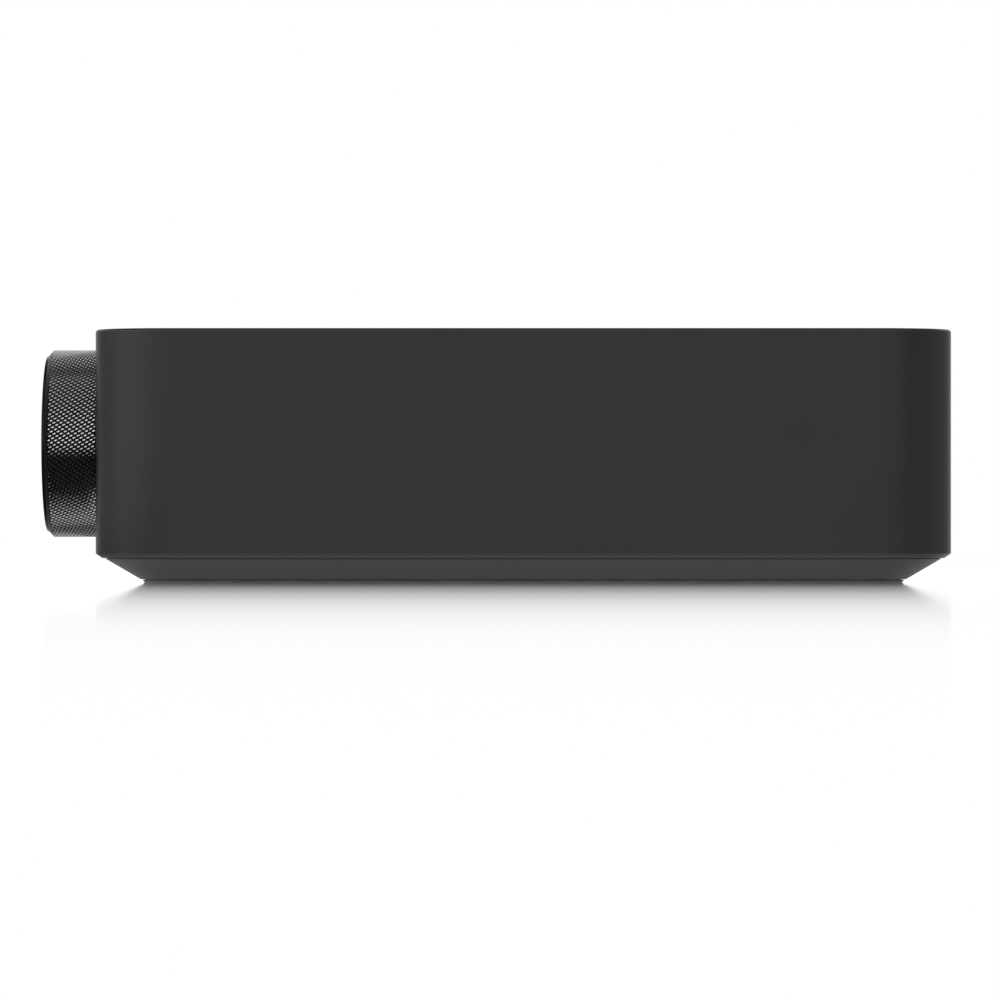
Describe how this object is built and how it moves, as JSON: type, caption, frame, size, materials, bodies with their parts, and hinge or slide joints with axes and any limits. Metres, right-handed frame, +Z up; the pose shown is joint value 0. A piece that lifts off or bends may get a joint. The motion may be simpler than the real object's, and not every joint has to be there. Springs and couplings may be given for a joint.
{
  "type": "streaming amplifier",
  "caption": "Compact square streaming amplifier: metal housing on a drawn-in base, endless push-and-turn knurled volume knob, recessed rear sockets and loudspeaker binding posts.",
  "frame": {"origin": "on the resting surface under the middle of the whole box, knob included", "axes": "+Z up, front and knob towards -Y, sockets towards +Y, +X to the right as seen from the front"},
  "size_m": [0.19, 0.2032, 0.056],
  "materials": {
    "housing_metal": "fine bead-blasted, dark grey anodised",
    "base_plastic": "moulded, fine grain",
    "foot_rubber": "matte",
    "knob_metal": "knurled, dark grey anodised",
    "black_glass": "glossy, black-backed",
    "black_plastic": "moulded",
    "gloss_black_plastic": "smooth",
    "red_plastic": "smooth",
    "white_plastic": "smooth",
    "gold_plate": "polished gold plate",
    "steel": "zinc plated",
    "bright_nickel": "bright nickel plate",
    "board": "green solder mask",
    "bare_aluminium": "extruded",
    "ferrite": "sintered, dull",
    "winding": "enamelled copper wire under tape",
    "capacitor_sleeve": "shrink sleeve",
    "ribbon_film": "flat film cable"
  },
  "bodies": {
    "chassis": {"amplifier_chip": "black_plastic", "antenna_board": "board", "base_cover": "base_plastic", "base_screws": "steel", "board_screws": "steel", "bulk_capacitors": "capacitor_sleeve", "case_shell": "housing_metal", "encoder_board": "board", "encoder_body": "steel", "encoder_nut": "steel", "foot_ring": "foot_rubber", "front_ribbon": "ribbon_film", "hdmi_shell": "bright_nickel", "hdmi_tongue": "gloss_black_plastic", "heat_sink": "bare_aluminium", "inlet_pins": "bright_nickel", "main_board": "board", "mains_choke": "winding", "mains_inlet": "black_plastic", "network_contacts": "gold_plate", "network_insert": "black_plastic", "network_shield": "bright_nickel", "optical_socket": "black_plastic", "output_coils": "ferrite", "phono_barrels": "gold_plate", "phono_block": "black_plastic", "phono_contacts": "gold_plate", "phono_inserts_red": "red_plastic", "phono_inserts_white": "white_plastic", "post_collars_black": "gloss_black_plastic", "post_collars_red": "red_plastic", "post_nuts": "gold_plate", "post_studs": "gold_plate", "power_board": "board", "radio_module": "steel", "rear_panel": "black_plastic", "rear_tray": "black_plastic", "reset_switch": "black_plastic", "ribbon_sockets": "white_plastic", "status_window": "black_glass", "transformer_core": "ferrite", "transformer_winding": "winding", "tray_screws": "steel", "usb_shell": "bright_nickel", "usb_tongue": "white_plastic"},
    "knob_plunger": {"encoder_plunger": "white_plastic"},
    "volume_knob": {"knob_ring": "knob_metal", "knob_lens": "black_glass", "knob_hub": "black_plastic", "encoder_shaft": "steel"},
    "optical_flap": {"optical_shutter": "black_plastic"},
    "reset_plunger": {"reset_button": "white_plastic"},
    "washer_left_black": {"post_washer_left_black": "gold_plate"},
    "cap_left_black": {"post_cap_left_black": "gloss_black_plastic"},
    "washer_left_red": {"post_washer_left_red": "gold_plate"},
    "cap_left_red": {"post_cap_left_red": "red_plastic"},
    "washer_right_black": {"post_washer_right_black": "gold_plate"},
    "cap_right_black": {"post_cap_right_black": "gloss_black_plastic"},
    "washer_right_red": {"post_washer_right_red": "gold_plate"},
    "cap_right_red": {"post_cap_right_red": "red_plastic"}
  },
  "joints": [
    {"name": "knob_press", "type": "slide", "parent": "chassis", "child": "knob_plunger", "axis": [0, 1, 0], "range_m": [0, 0.0005], "stiffness_N_per_m": 2500, "springref_m": -0.0006},
    {"name": "volume_turn", "type": "hinge", "parent": "knob_plunger", "child": "volume_knob", "pos_m": [0.045, -0.0884, 0.0311], "axis": [0, -1, 0], "continuous": true},
    {"name": "optical_flap_swing", "type": "hinge", "parent": "chassis", "child": "optical_flap", "pos_m": [0.026, 0.0839, 0.02375], "axis": [-1, 0, 0], "range_deg": [0, 80], "stiffness_Nm_per_rad": 0.0004, "springref_deg": -34.38},
    {"name": "reset_press", "type": "slide", "parent": "chassis", "child": "reset_plunger", "axis": [0, -1, 0], "range_m": [0, 0.0005], "stiffness_N_per_m": 2500, "springref_m": -0.0004},
    {"name": "washer_slide_left_black", "type": "slide", "parent": "chassis", "child": "washer_left_black", "axis": [0, 1, 0], "range_m": [0, 0.004]},
    {"name": "cap_turn_left_black", "type": "hinge", "parent": "washer_left_black", "child": "cap_left_black", "pos_m": [-0.037, 0.0878, 0.022], "axis": [0, 1, 0], "range_deg": [0, 1801]},
    {"name": "washer_slide_left_red", "type": "slide", "parent": "chassis", "child": "washer_left_red", "axis": [0, 1, 0], "range_m": [0, 0.004]},
    {"name": "cap_turn_left_red", "type": "hinge", "parent": "washer_left_red", "child": "cap_left_red", "pos_m": [-0.037, 0.0878, 0.041], "axis": [0, 1, 0], "range_deg": [0, 1801]},
    {"name": "washer_slide_right_black", "type": "slide", "parent": "chassis", "child": "washer_right_black", "axis": [0, 1, 0], "range_m": [0, 0.004]},
    {"name": "cap_turn_right_black", "type": "hinge", "parent": "washer_right_black", "child": "cap_right_black", "pos_m": [-0.018, 0.0878, 0.022], "axis": [0, 1, 0], "range_deg": [0, 1801]},
    {"name": "washer_slide_right_red", "type": "slide", "parent": "chassis", "child": "washer_right_red", "axis": [0, 1, 0], "range_m": [0, 0.004]},
    {"name": "cap_turn_right_red", "type": "hinge", "parent": "washer_right_red", "child": "cap_right_red", "pos_m": [-0.018, 0.0878, 0.041], "axis": [0, 1, 0], "range_deg": [0, 1801]}
  ],
  "couplings": [
    {"joint": "cap_turn_left_black", "follows": "washer_slide_left_black", "rad_per_m": 7854},
    {"joint": "cap_turn_left_red", "follows": "washer_slide_left_red", "rad_per_m": 7854},
    {"joint": "cap_turn_right_black", "follows": "washer_slide_right_black", "rad_per_m": 7854},
    {"joint": "cap_turn_right_red", "follows": "washer_slide_right_red", "rad_per_m": 7854}
  ]
}
